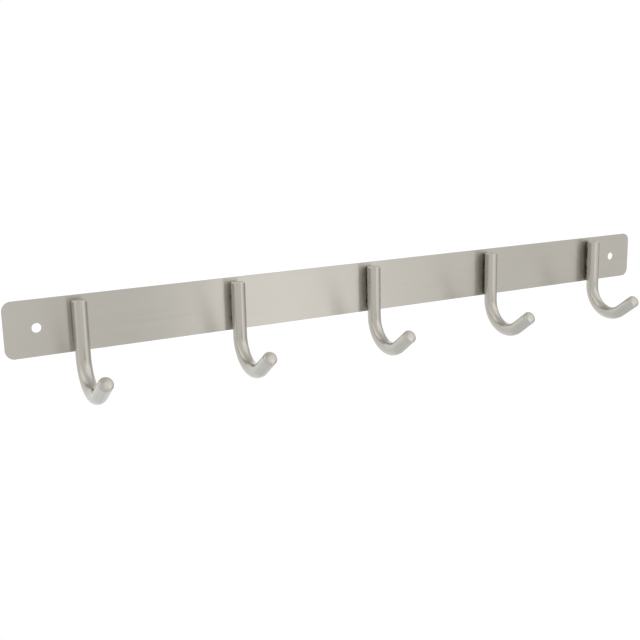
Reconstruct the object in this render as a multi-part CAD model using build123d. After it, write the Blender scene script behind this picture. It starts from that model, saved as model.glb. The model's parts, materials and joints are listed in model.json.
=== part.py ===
"""Wall-mounted coat hook rail: a flat steel strip with round-bar hooks welded to its front face.

Frame: +X runs along the rail, -Y is the front, +Z is up. The origin is the middle of the
strip's back face, the face that lies against the wall.
"""
from build123d import *
import os

# Strip of sheet
plate_height = 30.0
plate_thickness = 1.0
end_margin = 38.2  # strip's end to the nearest hook's middle
corner_radius = 5.0
edge_break = 0.2  # radius on the sheet's sharp edges

# Screw holes
hole_diameter = 5.0
hole_inset = 16.7  # strip's end to the hole's middle

# Row of hooks
hook_count = 5
hook_spacing = 89.4

# Round bar of a hook
bar_diameter = 8.0
top_margin = 2.2  # strip's top edge down to the bar's flat top end
bend_drop = 2.3  # strip's lower edge down to the start of the bend
bend_radius = 17.0  # to the bar's centre line
bend_angle = 126.0  # how far the bar turns forward and up
tip_length = 15.2  # end of the bend to the bar's end face
top_chamfer = 0.4
tip_round = 2.6  # radius on the edge of the end face

# Weld studs between bar and strip
stud_diameter = 4.0
stud_flare = 0.4  # how much wider the stud's radius is at the strip
stud_gap = 1.0  # clear space between strip and bar
upper_stud_inset = 11.0  # strip's top edge to the upper stud's middle
lower_stud_inset = 6.5  # strip's lower edge to the lower stud's middle

# Worked out from the sizes above
plate_length = (hook_count - 1) * hook_spacing + 2 * end_margin
plate_top = plate_height / 2
plate_front = -plate_thickness
bar_radius = bar_diameter / 2
bar_axis = plate_front - stud_gap - bar_radius
bar_top = plate_top - top_margin
bend_start = -plate_top - bend_drop
stud_heights = (plate_top - upper_stud_inset, lower_stud_inset - plate_top)
stud_root = bar_radius / 2  # how deep a stud reaches into the bar
hook_places = [(index - (hook_count - 1) / 2) * hook_spacing for index in range(hook_count)]
hole_place = plate_length / 2 - hole_inset


def wall_plate() -> Part:
    """The strip: rounded corners, a screw hole near each end, all sharp edges eased."""
    outline = RectangleRounded(plate_length, plate_height, corner_radius)
    for side in (-1, 1):
        outline -= Pos(side * hole_place, 0) * Circle(hole_diameter / 2)
    strip = extrude(Plane.XZ * outline, plate_thickness)
    rims = strip.faces().sort_by(Axis.Y)
    return fillet(rims[0].edges() + rims[-1].edges(), edge_break)


def bent_bar() -> Part:
    """Round bar: a straight shank, one bend forward and up, and a short straight tip."""
    shank = Line((bar_axis, bar_top), (bar_axis, bend_start))
    bend = CenterArc((bar_axis - bend_radius, bend_start), bend_radius, 0, -bend_angle)
    tip = Line(bend @ 1, bend @ 1 + (bend % 1) * tip_length)
    section = Pos(0, bar_axis, bar_top) * Circle(bar_radius)
    bar = sweep(section, path=Plane.YZ * Wire([shank, bend, tip]))
    top_face = bar.faces().sort_by(Axis.Z)[-1]
    bar = chamfer(top_face.edges(), top_chamfer)
    end_face = bar.faces().filter_by(GeomType.PLANE).sort_by(Axis.Y)[0]
    return fillet(end_face.edges(), tip_round)


def weld_stud(height: float) -> Part:
    """A short round stud from the strip's front face into the back of the bar."""
    length = stud_gap + stud_root
    stud = Cone(
        stud_diameter / 2 + stud_flare,
        stud_diameter / 2,
        length,
        align=(Align.CENTER, Align.CENTER, Align.MIN),
    )
    return Pos(0, plate_front, height) * Rot(90, 0, 0) * stud


def hook() -> Part:
    """One hook in one piece: the bent bar with its two studs seated on the strip's face."""
    body = bent_bar()
    for height in stud_heights:
        body += weld_stud(height)
    return body


os.makedirs("parts", exist_ok=True)
export_step(wall_plate(), "parts/wall_plate.step")
one_hook = hook()
for number, place in enumerate(hook_places, start=1):
    export_step(Pos(place, 0, 0) * one_hook, f"parts/hook_{number}.step")
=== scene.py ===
"""The coat hook rail's looks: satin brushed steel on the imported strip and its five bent-bar hooks.

Everything is in metres in the rail's own frame: +X runs along the rail, -Y points out of the wall
and +Z is up. The origin is the middle of the strip's back face.
"""
import json
import logging
import math
from dataclasses import dataclass
from enum import Enum
from typing import Any, Mapping

import bmesh
import bpy
from mathutils import Matrix, Vector


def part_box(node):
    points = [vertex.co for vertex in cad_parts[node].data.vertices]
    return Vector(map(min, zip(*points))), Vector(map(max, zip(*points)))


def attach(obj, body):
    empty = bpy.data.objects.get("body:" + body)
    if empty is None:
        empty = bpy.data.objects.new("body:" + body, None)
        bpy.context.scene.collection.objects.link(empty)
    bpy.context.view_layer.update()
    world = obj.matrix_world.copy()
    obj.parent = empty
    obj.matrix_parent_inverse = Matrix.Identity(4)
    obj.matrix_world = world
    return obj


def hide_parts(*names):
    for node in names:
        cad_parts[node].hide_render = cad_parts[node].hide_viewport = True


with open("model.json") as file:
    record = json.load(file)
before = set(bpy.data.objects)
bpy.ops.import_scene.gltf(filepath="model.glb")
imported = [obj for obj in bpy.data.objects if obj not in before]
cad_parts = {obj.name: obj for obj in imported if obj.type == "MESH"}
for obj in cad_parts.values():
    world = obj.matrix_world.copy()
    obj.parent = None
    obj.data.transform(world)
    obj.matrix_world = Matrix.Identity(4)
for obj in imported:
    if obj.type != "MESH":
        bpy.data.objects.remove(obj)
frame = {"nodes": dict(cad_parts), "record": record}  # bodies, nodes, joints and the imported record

log = logging.getLogger("coat_hook_rail")

MM = 0.001
UP = Vector((0.0, 0.0, 1.0))
ALONG_RAIL = Vector((1.0, 0.0, 0.0))
BODY = "root"
SHARP_DEG = 50.0  # edges that turn further than this stay crisp
STRAIGHTENED = "straightened"  # attribute: place on the bar as if it had never been bent

Colour = tuple[float, float, float]
Place = tuple[float, float, float]
Span = tuple[float, float]

WHITE: Colour = (1.0, 1.0, 1.0)
BLACK: Colour = (0.0, 0.0, 0.0)
WARM_WHITE: Colour = (1.018, 1.0, 0.965)


class Grain(Enum):
    """Which coordinates a finish's polishing lines follow."""

    RAIL = "lines run along the strip"
    BAR = "lines run along the bent bar"


class Signal:
    """An output socket whose arithmetic adds Math nodes to its own node tree."""

    def __init__(self, graph: "Graph", socket: bpy.types.NodeSocket) -> None:
        """Wraps a socket.

        Args:
            graph: the tree that the socket's node is in.
            socket: an output socket.
        """
        self.graph = graph
        self.socket = socket

    def maths(self, operation: str, *values: "Signal | float") -> "Signal":
        """Adds one Math node.

        Args:
            operation: the node's operation, such as ADD.
            values: its inputs in order, signals or numbers.

        Returns:
            The node's value.
        """
        inputs = dict(enumerate(values))
        return self.graph.node("ShaderNodeMath", {"operation": operation}, inputs)["Value"]

    def __add__(self, other: "Signal | float") -> "Signal":
        """self + other."""
        return self.maths("ADD", self, other)

    def __radd__(self, other: float) -> "Signal":
        """other + self."""
        return self.maths("ADD", other, self)

    def __sub__(self, other: "Signal | float") -> "Signal":
        """self - other."""
        return self.maths("SUBTRACT", self, other)

    def __rsub__(self, other: float) -> "Signal":
        """other - self."""
        return self.maths("SUBTRACT", other, self)

    def __mul__(self, other: "Signal | float") -> "Signal":
        """self * other."""
        return self.maths("MULTIPLY", self, other)

    def __rmul__(self, other: float) -> "Signal":
        """other * self."""
        return self.maths("MULTIPLY", other, self)

    def __neg__(self) -> "Signal":
        """-self."""
        return self.maths("MULTIPLY", self, -1.0)

    def __abs__(self) -> "Signal":
        """abs(self)."""
        return self.maths("ABSOLUTE", self)

    def largest(self, other: "Signal | float") -> "Signal":
        """The larger of two values."""
        return self.maths("MAXIMUM", self, other)

    def wrapped(self, low: float, high: float) -> "Signal":
        """The value brought into the repeating range from low to high."""
        return self.maths("WRAP", self, high, low)

    def step(self, low: float, high: float) -> "Signal":
        """A smooth step.

        Args:
            low: where it leaves 0.
            high: where it reaches 1, which may lie below low.

        Returns:
            The step's value.
        """
        settings = {"interpolation_type": "SMOOTHSTEP"}
        inputs = {"Value": self, "From Min": low, "From Max": high}
        return self.graph.node("ShaderNodeMapRange", settings, inputs)["Result"]


class Outputs:
    """A made node's outputs, looked up by name as signals."""

    def __init__(self, graph: "Graph", node: bpy.types.Node) -> None:
        """Wraps a node.

        Args:
            graph: the tree that the node is in.
            node: the node.
        """
        self.graph = graph
        self.node = node

    def __getitem__(self, name: str) -> Signal:
        """The output of that name or identifier."""
        return Signal(self.graph, Graph.find(self.node.outputs, name))


class Graph:
    """The node tree of one material or world."""

    noise_middle = 0.5  # the value that noise lies round
    noise_roughness = 0.6  # how strong each finer layer of noise is

    def __init__(self, owner: bpy.types.Material | bpy.types.World) -> None:
        """Empties the owner's tree.

        Args:
            owner: the material or world.
        """
        owner.use_nodes = True
        self.tree = owner.node_tree
        self.tree.nodes.clear()

    @staticmethod
    def find(sockets: Any, key: str | int) -> bpy.types.NodeSocket:
        """Finds a socket.

        Args:
            sockets: a node's inputs or outputs.
            key: its place, its identifier or its name.

        Returns:
            The socket.
        """
        if isinstance(key, int):
            return sockets[key]
        exact = [socket for socket in sockets if socket.identifier == key]
        named = [socket for socket in sockets if socket.name == key and socket.enabled]
        return (exact or named)[0]

    def node(self, kind: str, settings: Mapping[str, Any], inputs: Mapping[Any, Any]) -> Outputs:
        """Adds one node of any kind.

        Args:
            kind: the node's type.
            settings: its properties, which are set first.
            inputs: values or signals for its sockets.

        Returns:
            The node's outputs.
        """
        made = self.tree.nodes.new(kind)
        for name, value in settings.items():
            setattr(made, name, value)
        for key, value in inputs.items():
            socket = self.find(made.inputs, key)
            if isinstance(value, Signal):
                self.tree.links.new(value.socket, socket)
            else:
                socket.default_value = value
        return Outputs(self, made)

    def mix(self, factor: Signal, low: Signal | Colour, high: Signal | Colour) -> Signal:
        """Mixes two colours.

        Args:
            factor: 0 gives low and 1 gives high.
            low: a colour or its signal.
            high: a colour or its signal.

        Returns:
            The mixed colour.
        """
        ends = [end if isinstance(end, Signal) else (*end, 1.0) for end in (low, high)]
        inputs = {"Factor_Float": factor, "A_Color": ends[0], "B_Color": ends[1]}
        return self.node("ShaderNodeMix", {"data_type": "RGBA"}, inputs)["Result_Color"]

    def noise(self, place: Signal, detail: float, scale: float = 1.0) -> Signal:
        """Cloudy noise between 0 and 1.

        Args:
            place: the coordinates that it follows.
            detail: how many finer layers it has.
            scale: cells for each unit of those coordinates.

        Returns:
            The noise's value.
        """
        inputs = {"Vector": place, "Scale": scale, "Detail": detail, "Roughness": self.noise_roughness}
        return self.node("ShaderNodeTexNoise", {}, inputs)["Fac"]

    def stretched(self, place: Signal, scale: Vector) -> Signal:
        """Coordinates scaled axis by axis.

        Args:
            place: the coordinates.
            scale: one factor for each axis.

        Returns:
            The scaled coordinates.
        """
        return self.node("ShaderNodeMapping", {}, {"Vector": place, "Scale": scale})["Vector"]

    def axes(self, place: Signal) -> tuple[Signal, Signal, Signal]:
        """The three parts of a vector."""
        parts = self.node("ShaderNodeSeparateXYZ", {}, {"Vector": place})
        return parts["X"], parts["Y"], parts["Z"]

    def length(self, x: Signal, y: Signal) -> Signal:
        """The length of a flat vector."""
        flat = self.node("ShaderNodeCombineXYZ", {}, {"X": x, "Y": y})["Vector"]
        return self.node("ShaderNodeVectorMath", {"operation": "LENGTH"}, {0: flat})["Value"]


@dataclass(frozen=True)
class WeldScaleAndShade:
    """Weld scale and painted shade: a dark colour painted round each stud in the gap between bar and
    strip, where shade falls.
    """

    # a dark colour painted for weld scale and for the shade in the gap between bar and strip
    colour: Colour = (0.062, 0.040, 0.017)
    roughness: float = 0.62
    core: float = 2.4 * MM
    reach: float = 3.4 * MM


@dataclass(frozen=True)
class ScaleAndShadeMarks:
    """Where the weld scale and painted shade lie round the weld studs, in the coordinates that a
    finish's grain follows.
    """

    heights: tuple[float, ...]
    fade_y: Span  # no weld scale and painted shade at the first depth, all of it at the second
    spacing: float | None = None  # repeats along the rail at this distance

    def mask(self, graph: Graph, place: Signal, tint: WeldScaleAndShade) -> Signal:
        """1 at a stud, where weld scale and painted shade lie, and 0 away from it.

        Args:
            graph: the material's tree.
            place: the finish's coordinates.
            tint: how far a mark reaches.

        Returns:
            The mask.
        """
        x, y, z = graph.axes(place)
        if self.spacing is not None:
            x = x.wrapped(-self.spacing / 2, self.spacing / 2)
        marks = [1 - graph.length(x, z - height).step(tint.core, tint.reach) for height in self.heights]
        scale_and_shade = marks[0]
        for mark in marks[1:]:
            scale_and_shade = scale_and_shade.largest(mark)
        return scale_and_shade * y.step(*self.fade_y)


@dataclass(frozen=True)
class WeldStuds:
    """The two short studs that hold each bar off the strip, welded at both ends."""

    strip_low: Vector
    strip_high: Vector
    radius: float = 2.0 * MM
    gap: float = 1.0 * MM
    flare: float = 0.4 * MM
    flare_bow: float = 0.35  # share of the flare left at its hollow middle
    upper_inset: float = 11.0 * MM
    lower_inset: float = 6.5 * MM
    steps: int = 42  # leaves no facet's edge on the line down the bar's back
    strip_fade: Span = (-0.3 * MM, -0.8 * MM)  # the weld scale and painted shade stay off the strip's back
    bar_fade: Span = (3.2 * MM, 4.4 * MM)  # and off the bar's front and sides, so they lie only in the gap between bar and strip
    seam: float = 0.001 * MM

    @property
    def heights(self) -> Span:
        """The heights of the two studs."""
        return self.strip_high.z - self.upper_inset, self.strip_low.z + self.lower_inset

    def bar_axis_y(self, bar_radius: float) -> float:
        """How far out a bar's centre line stands."""
        return self.strip_low.y - self.gap - bar_radius

    def marks_on_strip(self, spacing: float) -> ScaleAndShadeMarks:
        """The weld scale and painted shade marks on the strip, for hooks at that spacing."""
        return ScaleAndShadeMarks(self.heights, self.strip_fade, spacing)

    def marks_on_bar(self, bar_top: float) -> ScaleAndShadeMarks:
        """The weld scale and painted shade marks on a bar, whose lengths are measured down from its
        top.
        """
        return ScaleAndShadeMarks(tuple(bar_top - height for height in self.heights), self.bar_fade)

    def shape(self, place_x: float, height: float, bar_radius: float) -> bmesh.types.BMesh:
        """Turns one stud, flared where it meets the strip.

        Args:
            place_x: the middle of its bar along the rail.
            height: its height on the strip.
            bar_radius: half the bar's thickness, of which it reaches half way in.

        Returns:
            The closed stud.
        """
        shape = bmesh.new()
        foot = self.strip_low.y
        depth = self.gap + bar_radius / 2
        hollow = self.flare_bow * self.flare
        profile = [
            (0.0, 0.0),
            (self.radius + self.flare, 0.0),
            (self.radius + hollow, hollow),
            (self.radius, self.flare),
            (self.radius, depth),
            (0.0, depth),
        ]
        verts = [shape.verts.new((place_x + out, foot - rise, height)) for out, rise in profile]
        edges = [shape.edges.new(pair) for pair in zip(verts, verts[1:])]
        bmesh.ops.spin(
            shape, geom=verts + edges, cent=(place_x, foot, height), axis=(0, 1, 0), angle=math.tau,
            steps=self.steps, use_merge=True,
        )
        bmesh.ops.remove_doubles(shape, verts=shape.verts, dist=self.seam)
        return shape


@dataclass(frozen=True)
class SatinSteel:
    """Stainless steel brushed to a satin finish.

    Its polishing lines show as fine streaks in colour, gloss and height, and in how a reflection
    smears across them.
    """

    marks: ScaleAndShadeMarks
    name: str = "brushed_sheet_steel"
    grain: Grain = Grain.RAIL
    colour: Colour = (0.574, 0.557, 0.518)
    roughness: float = 0.30
    smear: float = 0.97
    smear_turn: float = 0.25  # of a full turn, which lays the smear across the lines
    metal: float = 1.0
    dull_gloss: float = 0.15  # specular level of what isn't metal, such as the weld scale and painted shade
    line_width: float = 0.22 * MM
    line_length: float = 24 * MM
    line_detail: float = 3.0
    band_width: float = 1.6 * MM
    band_length: float = 110 * MM
    band_detail: float = 2.0
    cloud_cells: float = 22.0
    cloud_detail: float = 2.0
    line_share: float = 1.2
    band_share: float = 0.8
    streak_colour: float = 0.03
    streak_roughness: float = 0.05
    line_height: float = 0.004 * MM
    tint: WeldScaleAndShade = WeldScaleAndShade()

    def material(self) -> bpy.types.Material:
        """Makes the material.

        Returns:
            The material.
        """
        made = bpy.data.materials.new(self.name)
        graph = Graph(made)
        place = self.place(graph)
        narrow = self.drawn_out(graph, place, self.line_width, self.line_length)
        broad = self.drawn_out(graph, place, self.band_width, self.band_length)
        lines = graph.noise(narrow, self.line_detail) - graph.noise_middle
        bands = graph.noise(broad, self.band_detail) - graph.noise_middle
        cloud = graph.noise(place, self.cloud_detail, self.cloud_cells)
        streaks = lines * self.line_share + bands * self.band_share
        # painted shade: weld scale and the gap's shade darken the steel round each stud
        scale_and_shade = self.marks.mask(graph, place, self.tint)
        clean = graph.mix((streaks + cloud).step(0.0, 1.0), self.shade(-1), self.shade(1))
        gloss = self.roughness + streaks * self.streak_roughness
        relief = {"Distance": self.line_height, "Height": streaks}
        surface = graph.node("ShaderNodeBsdfPrincipled", {}, {
            "Base Color": graph.mix(scale_and_shade, clean, self.tint.colour),
            "Metallic": (1 - scale_and_shade) * self.metal,
            "Roughness": gloss + scale_and_shade * (self.tint.roughness - self.roughness),
            "Specular IOR Level": self.dull_gloss,
            "Anisotropic": self.smear,
            "Anisotropic Rotation": self.smear_turn,
            "Normal": graph.node("ShaderNodeBump", {}, relief)["Normal"],
        })
        graph.node("ShaderNodeOutputMaterial", {}, {"Surface": surface["BSDF"]})
        return made

    def place(self, graph: Graph) -> Signal:
        """Finds the coordinates that the grain follows.

        Args:
            graph: the material's tree.

        Returns:
            The coordinates.
        """
        if self.grain is Grain.RAIL:
            return graph.node("ShaderNodeTexCoord", {}, {})["Object"]
        return graph.node("ShaderNodeAttribute", {"attribute_name": STRAIGHTENED}, {})["Vector"]

    def drawn_out(self, graph: Graph, place: Signal, width: float, length: float) -> Signal:
        """Coordinates whose unit cells are narrow across the grain and long along it.

        Args:
            graph: the material's tree.
            place: the finish's coordinates.
            width: a cell's width across the grain.
            length: its length along the grain.

        Returns:
            The scaled coordinates.
        """
        across, along = 1 / width, 1 / length
        if self.grain is Grain.RAIL:
            return graph.stretched(place, Vector((along, across, across)))
        return graph.stretched(place, Vector((across, across, along)))

    def shade(self, side: int) -> Colour:
        """The colour of the darkest streaks, side -1, or of the lightest, side 1."""
        return tuple(channel * (1 + side * self.streak_colour) for channel in self.colour)


@dataclass(frozen=True)
class BarSteel(SatinSteel):
    """The same steel as round bar, polished lengthwise and duller, with no smear one way."""

    name: str = "satin_bar_steel"
    grain: Grain = Grain.BAR
    roughness: float = 0.23
    smear: float = 0.0
    metal: float = 0.88


def new_verts(made: Mapping[str, Any]) -> list[bmesh.types.BMVert]:
    """The vertices among what an operator made."""
    return [part for part in made["geom"] if isinstance(part, bmesh.types.BMVert)]


def new_edges(made: Mapping[str, Any]) -> list[bmesh.types.BMEdge]:
    """The edges among what an operator made."""
    return [part for part in made["geom"] if isinstance(part, bmesh.types.BMEdge)]


def upright(x: float, y: float, z: float) -> Matrix:
    """Stands a flat shape up on its edge, facing along the Y axis, at that place."""
    return Matrix.Translation((x, y, z)) @ Matrix.Rotation(math.pi / 2, 4, "X")


def upright_sheet(shape: bmesh.types.BMesh, low: Vector, high: Vector) -> list[bmesh.types.BMVert]:
    """Adds an upright rectangle.

    Args:
        shape: the bmesh that it goes into.
        low: its lower left corner.
        high: its upper right corner, whose depth is the rectangle's.

    Returns:
        Its four corners.
    """
    size, middle = high - low, (high + low) / 2
    corners = bmesh.ops.create_grid(shape, x_segments=1, y_segments=1, size=0.5)["verts"]
    bmesh.ops.scale(shape, verts=corners, vec=(size.x, size.z, 1.0))
    bmesh.ops.transform(shape, verts=corners, matrix=upright(middle.x, high.y, middle.z))
    return corners


def round_off(
    shape: bmesh.types.BMesh, geom: list[Any], affect: str, radius: float, steps: int
) -> None:
    """Rounds corners or edges.

    Args:
        shape: the bmesh that they are in.
        geom: the vertices or edges.
        affect: VERTICES or EDGES.
        radius: how far the rounding reaches.
        steps: how many facets it has.
    """
    bmesh.ops.bevel(
        shape, geom=geom, affect=affect, offset=radius, segments=steps, profile=0.5, material=-1
    )


def smooth(piece: bpy.types.Object) -> None:
    """Shades a piece smooth, with its sharp edges kept and its flat faces flat.

    Args:
        piece: the piece.
    """
    piece.data.shade_smooth()
    piece.data.set_sharp_from_angle(angle=math.radians(SHARP_DEG))
    even = piece.modifiers.new("flat faces stay flat", "WEIGHTED_NORMAL")
    even.keep_sharp = True


def shown(name: str, shape: bmesh.types.BMesh) -> bpy.types.Object:
    """Turns a bmesh into an object of the scene.

    Args:
        name: the object's name.
        shape: the bmesh, which is used up.

    Returns:
        The object, at the origin.
    """
    bmesh.ops.recalc_face_normals(shape, faces=shape.faces)
    mesh = bpy.data.meshes.new(name)
    shape.to_mesh(mesh)
    shape.free()
    made = bpy.data.objects.new(name, mesh)
    bpy.context.scene.collection.objects.link(made)
    return made


def fit(piece: bpy.types.Object, node: str) -> None:
    """Puts a finished piece in the place of its CAD node.

    Args:
        piece: the piece.
        node: the node that it stands for.
    """
    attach(piece, BODY)
    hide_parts(node)
    log.info("%s stands for %s with %d faces", piece.name, node, len(piece.data.polygons))


@dataclass
class WallStrip:
    """The flat strip: rounded corners, a screw hole near each end, all sharp edges eased."""

    low: Vector
    high: Vector
    hole_spacing: float
    hole_radius: float
    steel: SatinSteel
    node: str = "wall_plate"
    name: str = "brushed_strip"
    slot: str = "brushed_sheet"
    corner_radius: float = 5.0 * MM
    edge_break: float = 0.2 * MM
    corner_steps: int = 14
    hole_steps: int = 48
    edge_steps: int = 3

    def build(self) -> bpy.types.Object:
        """Builds and dresses the strip.

        Returns:
            The finished piece.
        """
        shape = bmesh.new()
        corners = upright_sheet(shape, self.low, self.high)
        round_off(shape, corners, "VERTICES", self.corner_radius, self.corner_steps)
        for side in (-1, 1):
            self.open_hole(shape, side)
        front = bmesh.ops.extrude_face_region(shape, geom=shape.faces[:])
        bmesh.ops.translate(shape, verts=new_verts(front), vec=(0, self.low.y - self.high.y, 0))
        self.ease_edges(shape)
        strip = shown(self.name, shape)
        smooth(strip)
        strip.data.materials.append(self.steel.material())
        fit(strip, self.node)
        return strip

    def open_hole(self, shape: bmesh.types.BMesh, side: int) -> None:
        """Parts off one end of the face and opens the screw hole in it.

        Args:
            shape: the strip in progress.
            side: -1 for the left end and 1 for the right.
        """
        end = self.high.x if side > 0 else self.low.x
        hole = side * self.hole_spacing / 2
        cut = 2 * hole - end  # as far from the hole as the strip's end is
        middle = (self.low.z + self.high.z) / 2
        bmesh.ops.bisect_plane(
            shape, geom=shape.verts[:] + shape.edges[:] + shape.faces[:], plane_co=(cut, 0, 0),
            plane_no=ALONG_RAIL,
        )
        face = max(shape.faces, key=lambda part: side * part.calc_center_median().x)
        outline = list(face.edges)
        bmesh.ops.delete(shape, geom=[face], context="FACES_ONLY")
        rim = bmesh.ops.create_circle(
            shape, cap_ends=False, radius=self.hole_radius, segments=self.hole_steps,
            matrix=upright(hole, self.high.y, middle),
        )
        around = list({edge for vert in rim["verts"] for edge in vert.link_edges})
        bmesh.ops.triangle_fill(shape, edges=outline + around, use_beauty=True, normal=(0, 1, 0))

    def ease_edges(self, shape: bmesh.types.BMesh) -> None:
        """Rounds every sharp rim, the holes' too.

        Args:
            shape: the strip in progress.
        """
        bmesh.ops.recalc_face_normals(shape, faces=shape.faces)
        limit = math.radians(SHARP_DEG)
        rims = [edge for edge in shape.edges if edge.calc_face_angle(0.0) > limit]
        round_off(shape, rims, "EDGES", self.edge_break, self.edge_steps)


@dataclass
class BentHook:
    """One hook: a round bar bent into a J, standing off the strip on two weld studs."""

    node: str
    low: Vector
    high: Vector
    studs: WeldStuds
    material: bpy.types.Material
    slot: str = "satin_bar"
    bend_radius: float = 17.0 * MM  # to the bar's centre line
    bend_deg: float = 126.0
    tip_length: float = 15.2 * MM
    top_break: float = 0.4 * MM
    crown_radius: float = 7.8 * MM  # how gently the tip's end face is domed
    crown_reach: float = 2.95 * MM  # from the bar's middle to where the dome meets the rounded edge
    round_steps: int = 64
    bend_steps: int = 80
    top_steps: int = 3
    edge_steps: int = 8
    crown_steps: int = 6

    @property
    def bar_radius(self) -> float:
        """Half the bar's thickness."""
        return (self.high.x - self.low.x) / 2

    @property
    def axis(self) -> Vector:
        """The top end of the bar's centre line."""
        x = (self.high.x + self.low.x) / 2
        return Vector((x, self.studs.bar_axis_y(self.bar_radius), self.high.z))

    @property
    def bend_centre(self) -> Vector:
        """The point that the bar bends round."""
        z = self.low.z + self.bend_radius + self.bar_radius
        return Vector((self.axis.x, self.axis.y - self.bend_radius, z))

    @property
    def bend_end(self) -> Vector:
        """Where the bend's centre line ends and the tip's begins."""
        turn = math.radians(self.bend_deg)
        return self.bend_centre + Vector((0, math.cos(turn), -math.sin(turn))) * self.bend_radius

    @property
    def tip_way(self) -> Vector:
        """The direction in which the tip points."""
        turn = math.radians(self.bend_deg)
        return Vector((0, -math.sin(turn), -math.cos(turn)))

    def build(self) -> bpy.types.Object:
        """Builds and dresses the hook.

        Returns:
            The finished piece.
        """
        hook = shown(f"{self.node}_bar", self.bar())
        places = [(self.axis.x, height, self.bar_radius) for height in self.studs.heights]
        self.weld(hook, [shown(f"{self.node}_stud", self.studs.shape(*place)) for place in places])
        smooth(hook)
        self.mark_length(hook.data)
        hook.data.materials.clear()
        hook.data.materials.append(self.material)
        fit(hook, self.node)
        return hook

    def bar(self) -> bmesh.types.BMesh:
        """Draws the bar down its shank, round the bend and out to the tip.

        Returns:
            The closed bar.
        """
        shape = bmesh.new()
        bmesh.ops.create_circle(
            shape, cap_ends=False, radius=self.bar_radius, segments=self.round_steps,
            matrix=Matrix.Translation(self.axis),
        )
        top = shape.edges[:]
        shank = bmesh.ops.extrude_edge_only(shape, edges=top)
        drop = self.bend_centre.z - self.axis.z
        bmesh.ops.translate(shape, verts=new_verts(shank), vec=(0, 0, drop))
        bend = bmesh.ops.spin(
            shape, geom=new_edges(shank), cent=self.bend_centre, axis=ALONG_RAIL,
            angle=-math.radians(self.bend_deg), steps=self.bend_steps,
        )
        last = [part for part in bend["geom_last"] if isinstance(part, bmesh.types.BMEdge)]
        bmesh.ops.contextual_create(shape, geom=top)
        round_off(shape, top, "EDGES", self.top_break, self.top_steps)
        self.crown_tip(shape, last)
        return shape

    def end_rings(self) -> list[Span]:
        """Works out the rings that shape the tip's end, from the bar's side to the end's middle.

        Returns:
            Each ring's radius and its depth below the end's highest point.
        """
        slope = math.asin(self.crown_reach / self.crown_radius)
        edge_radius = (self.bar_radius - self.crown_reach) / (1 - math.sin(slope))
        edge_middle = self.bar_radius - edge_radius
        side_depth = self.crown_radius * (1 - math.cos(slope)) + edge_radius * math.cos(slope)
        rings = []
        for step in range(self.edge_steps):
            turn = math.pi / 2 + (slope - math.pi / 2) * step / self.edge_steps
            radius = edge_middle + edge_radius * math.sin(turn)
            rings.append((radius, side_depth - edge_radius * math.cos(turn)))
        for step in range(self.crown_steps):
            turn = slope * (1 - step / self.crown_steps)
            radius = self.crown_radius * math.sin(turn)
            rings.append((radius, self.crown_radius * (1 - math.cos(turn))))
        return rings

    def crown_tip(self, shape: bmesh.types.BMesh, rim: list[bmesh.types.BMEdge]) -> None:
        """Draws the straight tip out ring by ring and domes its end.

        Args:
            shape: the bar in progress.
            rim: the ring of edges at the end of the bend.
        """
        middle, radius = self.bend_end, self.bar_radius
        end = self.bend_end + self.tip_way * self.tip_length
        for next_radius, depth in self.end_rings():
            ring = bmesh.ops.extrude_edge_only(shape, edges=rim)
            shrink = (next_radius / radius,) * 3
            bmesh.ops.scale(
                shape, verts=new_verts(ring), vec=shrink, space=Matrix.Translation(-middle)
            )
            next_middle = end - self.tip_way * depth
            bmesh.ops.translate(shape, verts=new_verts(ring), vec=next_middle - middle)
            rim, middle, radius = new_edges(ring), next_middle, next_radius
        pole = bmesh.ops.extrude_edge_only(shape, edges=rim)
        bmesh.ops.pointmerge(shape, verts=new_verts(pole), merge_co=end)

    def weld(self, hook: bpy.types.Object, studs: list[bpy.types.Object]) -> None:
        """Joins the studs to the bar in one closed mesh.

        Args:
            hook: the bar, which gets the joined mesh.
            studs: the studs, which are used up.
        """
        for stud in studs:
            join = hook.modifiers.new("weld", "BOOLEAN")
            join.operation = "UNION"
            join.solver = "EXACT"
            join.object = stud
        evaluated = hook.evaluated_get(bpy.context.evaluated_depsgraph_get())
        joined = bpy.data.meshes.new_from_object(evaluated)
        joined.name = hook.data.name
        hook.modifiers.clear()
        hook.data = joined
        self.clean(joined)
        for stud in studs:
            bpy.data.objects.remove(stud)

    def clean(self, mesh: bpy.types.Mesh) -> None:
        """Merges the slivers that the weld leaves where facets nearly meet.

        Args:
            mesh: the joined mesh.
        """
        shape = bmesh.new()
        shape.from_mesh(mesh)
        bmesh.ops.remove_doubles(shape, verts=shape.verts, dist=self.studs.seam)
        bmesh.ops.dissolve_degenerate(shape, edges=shape.edges, dist=self.studs.seam)
        shape.to_mesh(mesh)
        shape.free()

    def mark_length(self, mesh: bpy.types.Mesh) -> None:
        """Stores where each vertex lies on the bar as if it had never been bent.

        Args:
            mesh: the hook's mesh.
        """
        attribute = mesh.attributes.new(STRAIGHTENED, "FLOAT_VECTOR", "POINT")
        for vert, stored in zip(mesh.vertices, attribute.data):
            stored.vector = self.straightened(vert.co)

    def straightened(self, point: Vector) -> Vector:
        """Unbends a point of the bar.

        Args:
            point: a place on the hook.

        Returns:
            Its place across the bar, its place towards the strip and its length along the bar.
        """
        across = point.x - self.axis.x
        shank = self.axis.z - self.bend_centre.z
        if point.z >= self.bend_centre.z and point.y > self.bend_centre.y:
            return Vector((across, point.y - self.axis.y, self.axis.z - point.z))
        whole = math.radians(self.bend_deg)
        arm = point - self.bend_centre
        turn = math.atan2(-arm.z, arm.y)
        beyond = (point - self.bend_end).dot(self.tip_way)
        if beyond > 0 and (turn > whole or turn < 0):
            outwards = self.tip_way.cross(ALONG_RAIL)
            back = (point - self.bend_end).dot(outwards)
            return Vector((across, back, shank + whole * self.bend_radius + beyond))
        back = math.hypot(arm.y, arm.z) - self.bend_radius
        return Vector((across, back, shank + turn * self.bend_radius))


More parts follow.
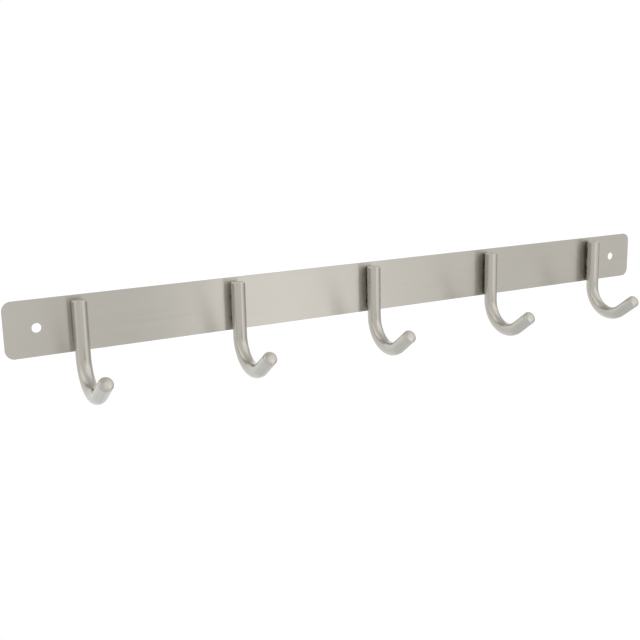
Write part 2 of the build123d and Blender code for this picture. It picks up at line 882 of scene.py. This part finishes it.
@dataclass(frozen=True)
class PhotoCamera:
    """The photograph's camera, worked out from the strip's outline and the hooks in it."""

    place: Place = (-0.307443, -0.494607, 0.105105)
    heading_deg: float = 28.8998  # from +Y towards +X
    pitch_deg: float = -12.1784
    roll_deg: float = 1.3548
    focal_px: float = 969.992
    frame_px: float = 640.0
    sensor_mm: float = 36.0
    seen_from: float = 0.01
    seen_to: float = 50.0

    def build(self) -> bpy.types.Object:
        """Makes the camera and puts it in charge of the scene.

        Returns:
            The camera object.
        """
        data = bpy.data.cameras.new("photo_camera")
        data.sensor_width = self.sensor_mm
        data.lens = self.focal_px * self.sensor_mm / self.frame_px
        data.clip_start, data.clip_end = self.seen_from, self.seen_to
        camera = bpy.data.objects.new("photo_camera", data)
        bpy.context.scene.collection.objects.link(camera)
        camera.matrix_world = self.aim()
        bpy.context.scene.camera = camera
        return camera

    def aim(self) -> Matrix:
        """The camera's place and turn.

        Returns:
            Its world matrix.
        """
        turns = (self.heading_deg, self.pitch_deg, self.roll_deg)
        heading, pitch, roll = (math.radians(turn) for turn in turns)
        level = math.cos(pitch)
        ahead = Vector((math.sin(heading) * level, math.cos(heading) * level, math.sin(pitch)))
        right = ahead.cross(UP).normalized()
        down = ahead.cross(right)
        right, down = (
            right * math.cos(roll) + down * math.sin(roll),
            down * math.cos(roll) - right * math.sin(roll),
        )
        turned = Matrix((right, -down, -ahead)).transposed().to_4x4()
        turned.translation = self.place
        return turned


@dataclass(frozen=True)
class SoftPanel:
    """A wide soft light close in front of the rail, which only shows as a reflection in metal."""

    distance: float = 0.45
    low_z: float = -0.90
    high_z: float = 0.50
    left_x: float = -0.30
    right_x: float = 1.80
    level: float = 0.42
    rise_x: Span = (0.018, 0.148)
    fall_x: Span = (0.130, 0.500)
    kept: float = 0.10  # share of the light that stays beyond the fall
    edge_x: Span = (1.20, 1.75)
    strip_level: float = 0.055
    strip_start_x: Span = (-0.27, -0.20)
    strip_end_x: Span = (-0.13, -0.04)
    top_z: Span = (0.05, 0.42)
    colour: Colour = WARM_WHITE

    def build(self) -> bpy.types.Object:
        """Hangs the panel.

        Returns:
            The panel.
        """
        shape = bmesh.new()
        low = Vector((self.left_x, -self.distance, self.low_z))
        high = Vector((self.right_x, -self.distance, self.high_z))
        upright_sheet(shape, low, high)
        panel = shown("soft_panel", shape)
        panel.data.materials.append(self.material())
        for kind in ("camera", "diffuse", "transmission", "volume_scatter", "shadow"):
            setattr(panel, f"visible_{kind}", False)
        return panel

    def material(self) -> bpy.types.Material:
        """Light with soft edges, which adds to what is behind it.

        Returns:
            The material.
        """
        made = bpy.data.materials.new("soft_panel_light")
        graph = Graph(made)
        x, _, z = graph.axes(graph.node("ShaderNodeTexCoord", {}, {})["Object"])
        across = x.step(*self.rise_x) * (1 - x.step(*self.fall_x) * (1 - self.kept))
        strip = x.step(*self.strip_start_x) * (1 - x.step(*self.strip_end_x)) * self.strip_level
        level = across * (1 - x.step(*self.edge_x)) * self.level + strip
        level = level * (1 - z.step(*self.top_z))
        light = graph.node("ShaderNodeEmission", {}, {"Color": graph.mix(level, BLACK, self.colour)})
        clear = graph.node("ShaderNodeBsdfTransparent", {}, {})
        both = graph.node("ShaderNodeAddShader", {}, {0: light["Emission"], 1: clear["BSDF"]})
        graph.node("ShaderNodeOutputMaterial", {}, {"Surface": both["Shader"]})
        return made


@dataclass(frozen=True)
class Patch:
    """A soft light or dark patch on the studio's walls, as metal sees it."""

    level: float  # added to the walls
    middle_deg: float  # heading from the rail's front towards +X
    reach_deg: Span  # full up to the first and gone at the second
    foot: Span  # gone at the first height and full at the second, the direction's upward part

    def light(self, heading: Signal, height: Signal) -> Signal:
        """What the patch adds.

        Args:
            heading: the direction looked in, in radians.
            height: the direction's upward part, or a distance from a height.

        Returns:
            The added light.
        """
        start, end = (math.radians(reach) for reach in self.reach_deg)
        near = 1 - abs(heading - math.radians(self.middle_deg)).step(start, end)
        return near * height.step(*self.foot) * self.level


@dataclass(frozen=True)
class Studio:
    """Plain soft light, a pale floor well below the rail and a white surround."""

    floor_z: float = -0.30
    floor_size: float = 12.0
    floor_colour: Colour = (0.86, 0.86, 0.855)
    floor_roughness: float = 0.9
    floor_specular: float = 0.1
    lift_near: float = 0.28  # what the camera adds to the floor, to see it as white as the surround
    lift_far: float = 0.36  # the same where the lamp doesn't reach
    lift_reach: Span = (0.2, 1.8)
    fill: float = 0.80
    walls: float = 0.755
    backdrop: float = 0.24
    backdrop_from_deg: Span = (120.0, 160.0)
    backdrop_top: Span = (0.95, 0.50)
    backdrop_foot: Span = (-1.00, -0.75)
    side_glow: Patch = Patch(0.24, -97.0, (18.0, 45.0), (0.00, 0.35))
    low_glow: Patch = Patch(0.12, -88.0, (6.0, 22.0), (-0.60, -0.40))
    high_glow: Patch = Patch(0.31, 42.0, (28.0, 62.0), (0.02, 0.38))
    dark_corner: Patch = Patch(-0.30, 92.0, (8.0, 30.0), (0.45, 0.20))
    dark_corner_z: float = -0.25  # the height that its foot is measured from, up and down
    ceiling: float = -0.13
    ceiling_from: Span = (0.78, 0.98)
    warm_from: Span = (-0.55, -0.20)
    lamp_power: float = 3.0
    lamp_size: Span = (0.9, 0.9)
    lamp_place: Place = (0.55, -0.95, 1.15)

    def build(self) -> None:
        """Sets up the surround, the panel, the floor and the lamp."""
        bpy.context.scene.view_settings.view_transform = "Standard"
        self.surround()
        SoftPanel().build()
        self.floor()
        self.lamp()

    def surround(self) -> None:
        """White to the camera, and a plain studio for metal to reflect."""
        world = bpy.data.worlds.new("studio")
        bpy.context.scene.world = world
        graph = Graph(world)
        x, y, z = graph.axes(graph.node("ShaderNodeTexCoord", {}, {})["Generated"])
        heading = x.maths("ARCTAN2", x, -y)
        start, end = (math.radians(turn) for turn in self.backdrop_from_deg)
        behind = abs(heading).step(start, end) * z.step(*self.backdrop_top)
        behind = behind * z.step(*self.backdrop_foot)
        top = z.step(*self.ceiling_from)
        glow = self.side_glow.light(heading, z) + self.high_glow.light(heading, z)
        glow = glow + self.low_glow.light(heading, z)
        shine = self.walls + behind * self.backdrop + glow * (1 - top)
        shine = shine + top * self.ceiling
        shine = shine + self.dark_corner.light(heading, abs(z - self.dark_corner_z))
        ray = graph.node("ShaderNodeLightPath", {}, {})
        seen = ray["Is Camera Ray"].largest(ray["Is Transmission Ray"])
        glossy = ray["Is Glossy Ray"]
        level = seen + (1 - seen) * (glossy * shine + (1 - glossy) * self.fill)
        colour = graph.mix(glossy * (1 - behind) * z.step(*self.warm_from), WHITE, WARM_WHITE)
        sky = graph.node("ShaderNodeBackground", {}, {"Color": colour, "Strength": level})
        graph.node("ShaderNodeOutputWorld", {}, {"Surface": sky["Background"]})

    def floor(self) -> bpy.types.Object:
        """Lays the floor.

        Returns:
            The floor.
        """
        shape = bmesh.new()
        bmesh.ops.create_grid(
            shape, x_segments=1, y_segments=1, size=self.floor_size / 2,
            matrix=Matrix.Translation((0, 0, self.floor_z)),
        )
        floor = shown("pale_floor", shape)
        paint = bpy.data.materials.new("floor_paint")
        graph = Graph(paint)
        seen = graph.node("ShaderNodeLightPath", {}, {})["Is Camera Ray"]
        x, y, _ = graph.axes(graph.node("ShaderNodeTexCoord", {}, {})["Object"])
        away = graph.length(x, y).step(*self.lift_reach)
        lift = self.lift_near + away * (self.lift_far - self.lift_near)
        surface = graph.node("ShaderNodeBsdfPrincipled", {}, {
            "Base Color": (*self.floor_colour, 1.0),
            "Roughness": self.floor_roughness,
            "Specular IOR Level": self.floor_specular,
            "Emission Color": graph.mix(seen * lift, BLACK, WHITE),
            "Emission Strength": 1.0,
        })
        graph.node("ShaderNodeOutputMaterial", {}, {"Surface": surface["BSDF"]})
        floor.data.materials.append(paint)
        floor.visible_glossy = False  # metal shows the surround, down to below the rail
        return floor

    def lamp(self) -> bpy.types.Object:
        """Hangs the large soft lamp above the front right.

        Returns:
            The lamp.
        """
        data = bpy.data.lights.new("soft_lamp", "AREA")
        data.shape = "RECTANGLE"
        data.size, data.size_y = self.lamp_size
        data.energy = self.lamp_power
        lamp = bpy.data.objects.new("soft_lamp", data)
        bpy.context.scene.collection.objects.link(lamp)
        lamp.location = self.lamp_place
        lamp.visible_glossy = False
        lamp.rotation_mode = "QUATERNION"
        lamp.rotation_quaternion = (-Vector(self.lamp_place)).to_track_quat("-Z", "Y")
        return lamp


def main() -> None:
    """Builds the rail's pieces in order, then the studio and the camera."""
    logging.basicConfig(level=logging.INFO, format="%(message)s")
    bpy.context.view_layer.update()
    mounts = {mount["name"]: mount["dims"] for mount in frame["record"]["mounts"]}
    screws = mounts["wall_screws"]
    strip_low, strip_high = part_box("wall_plate")
    hooks = sorted(name for name in frame["nodes"] if name.startswith("hook_"))
    boxes = {name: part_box(name) for name in hooks}
    middles = [(low.x + high.x) / 2 for low, high in boxes.values()]
    spacing = (middles[-1] - middles[0]) / (len(hooks) - 1)

    studs = WeldStuds(strip_low, strip_high)

    sheet = SatinSteel(studs.marks_on_strip(spacing))
    hole_spacing, hole_radius = screws["spacing_x_mm"] * MM, screws["hole_r_mm"] * MM
    WallStrip(strip_low, strip_high, hole_spacing, hole_radius, sheet).build()

    _, first_high = boxes[hooks[0]]
    bar = BarSteel(studs.marks_on_bar(first_high.z)).material()
    for name in hooks:
        BentHook(name, *boxes[name], studs, bar).build()

    Studio().build()
    PhotoCamera().build()


if __name__ == "__main__":
    main()
